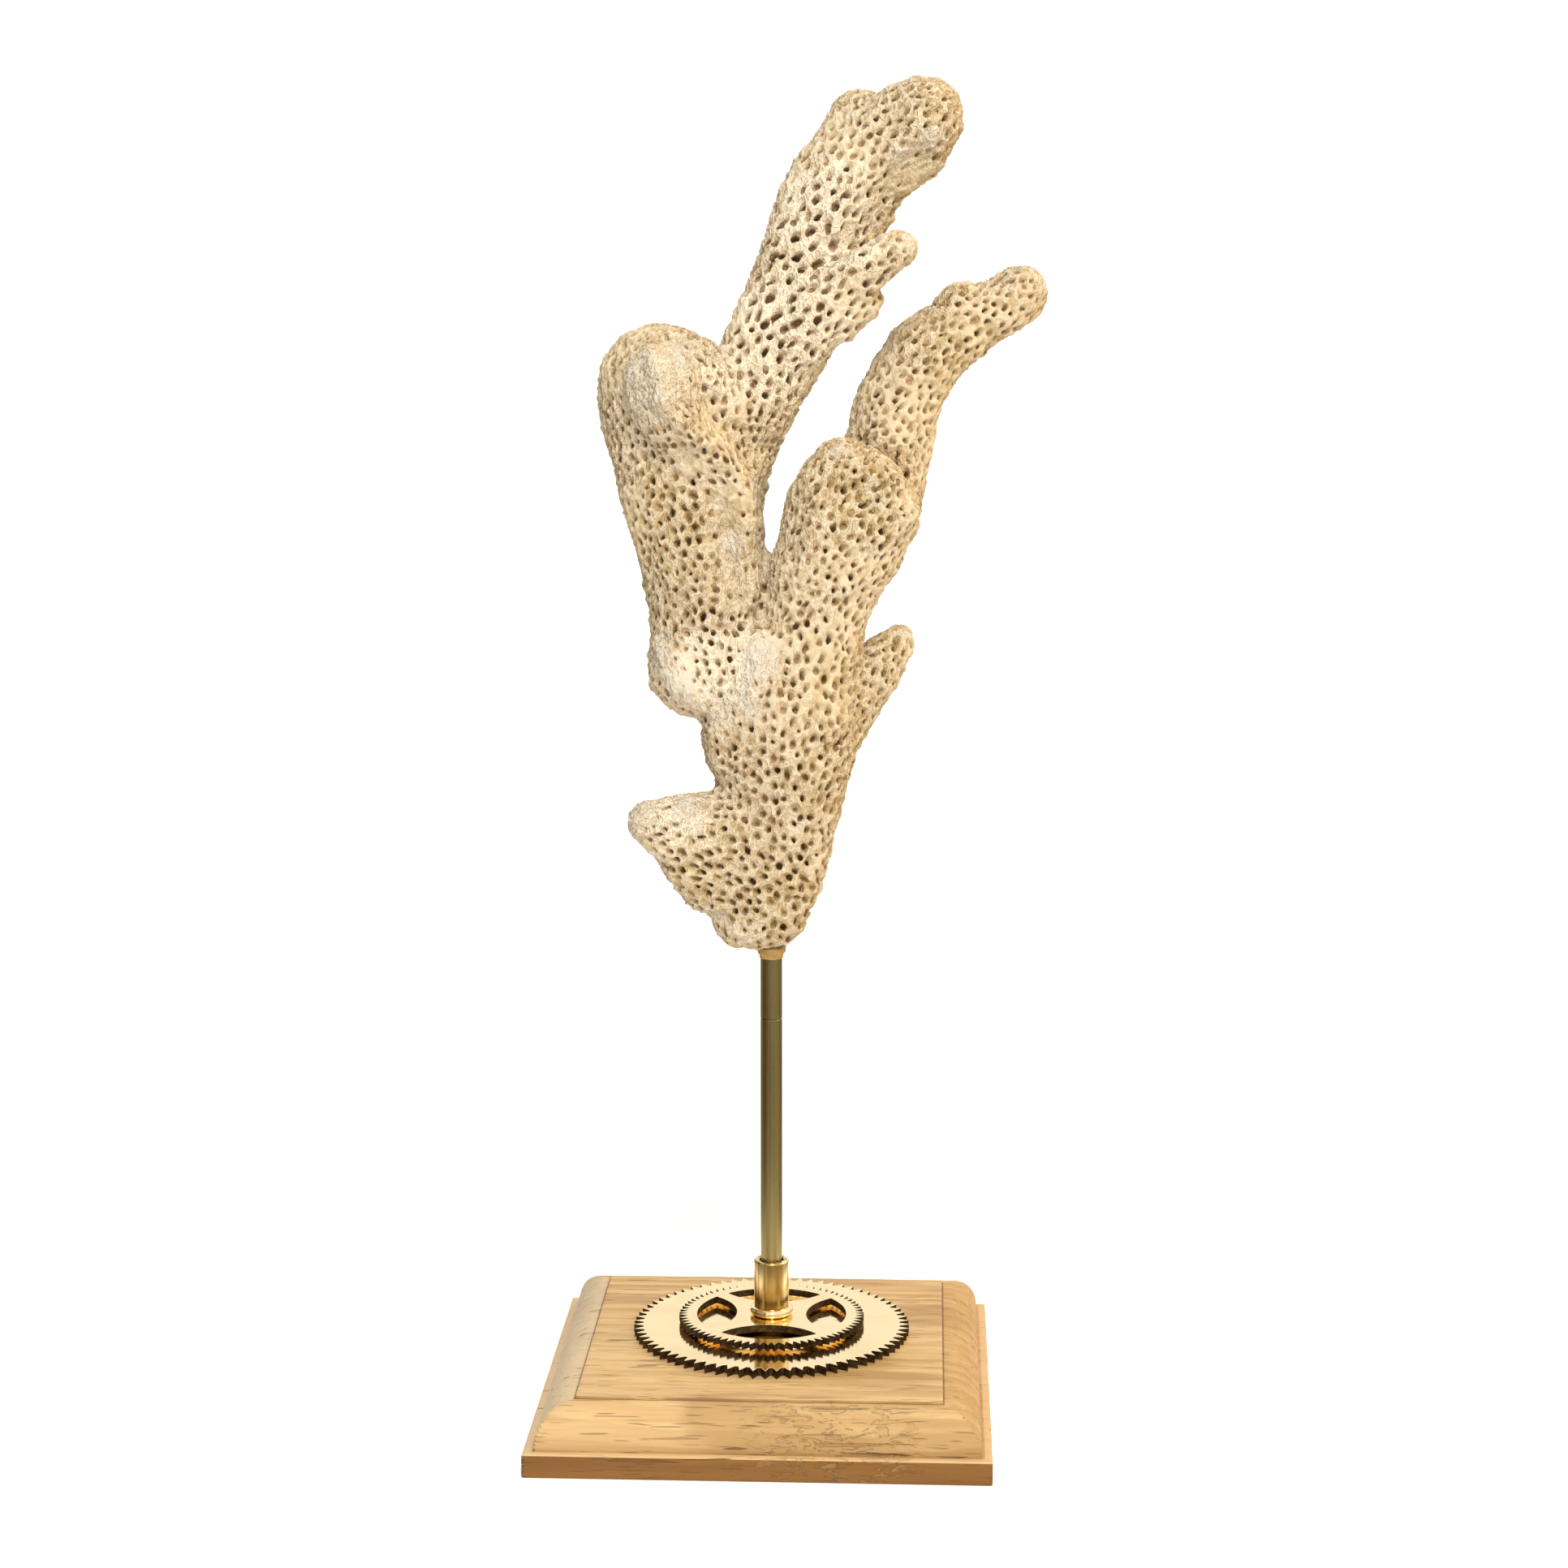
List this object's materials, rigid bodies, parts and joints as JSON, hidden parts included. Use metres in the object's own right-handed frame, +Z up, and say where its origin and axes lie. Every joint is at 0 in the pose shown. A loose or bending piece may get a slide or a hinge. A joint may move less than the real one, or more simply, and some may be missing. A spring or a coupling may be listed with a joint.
{
  "type": "branching coral on display stand",
  "caption": "Pitted, branching piece of pale coral held upright on a brass rod, with stacked toothed brass wheels on a square moulded wooden base.",
  "frame": {"origin": "centre of the underside of the wooden base", "axes": "+Z up, +X to the right of someone facing the coral, +Y away from them"},
  "size_m": [0.155, 0.14, 0.4107],
  "materials": {
    "wood": "honey-coloured open grain under a thin satin oil",
    "polished_brass": "polished",
    "rod_brass": "drawn, slightly dulled",
    "glue": "clear amber glue",
    "coral": "dry, matt, pitted all over, worn smooth at the tips"
  },
  "bodies": {
    "root": {"base_board": "wood", "large_wheel": "polished_brass", "small_wheel": "polished_brass", "bead_washer": "polished_brass", "collar": "polished_brass", "lower_rod": "rod_brass", "upper_rod": "rod_brass", "glue_bead": "glue", "coral_trunk": "coral", "coral_lower_left_spur": "coral", "coral_right_spur": "coral", "coral_left_branch": "coral", "coral_long_branch": "coral", "coral_finger": "coral", "coral_right_branch": "coral", "coral_rear_branch": "coral"}
  },
  "joints": []
}
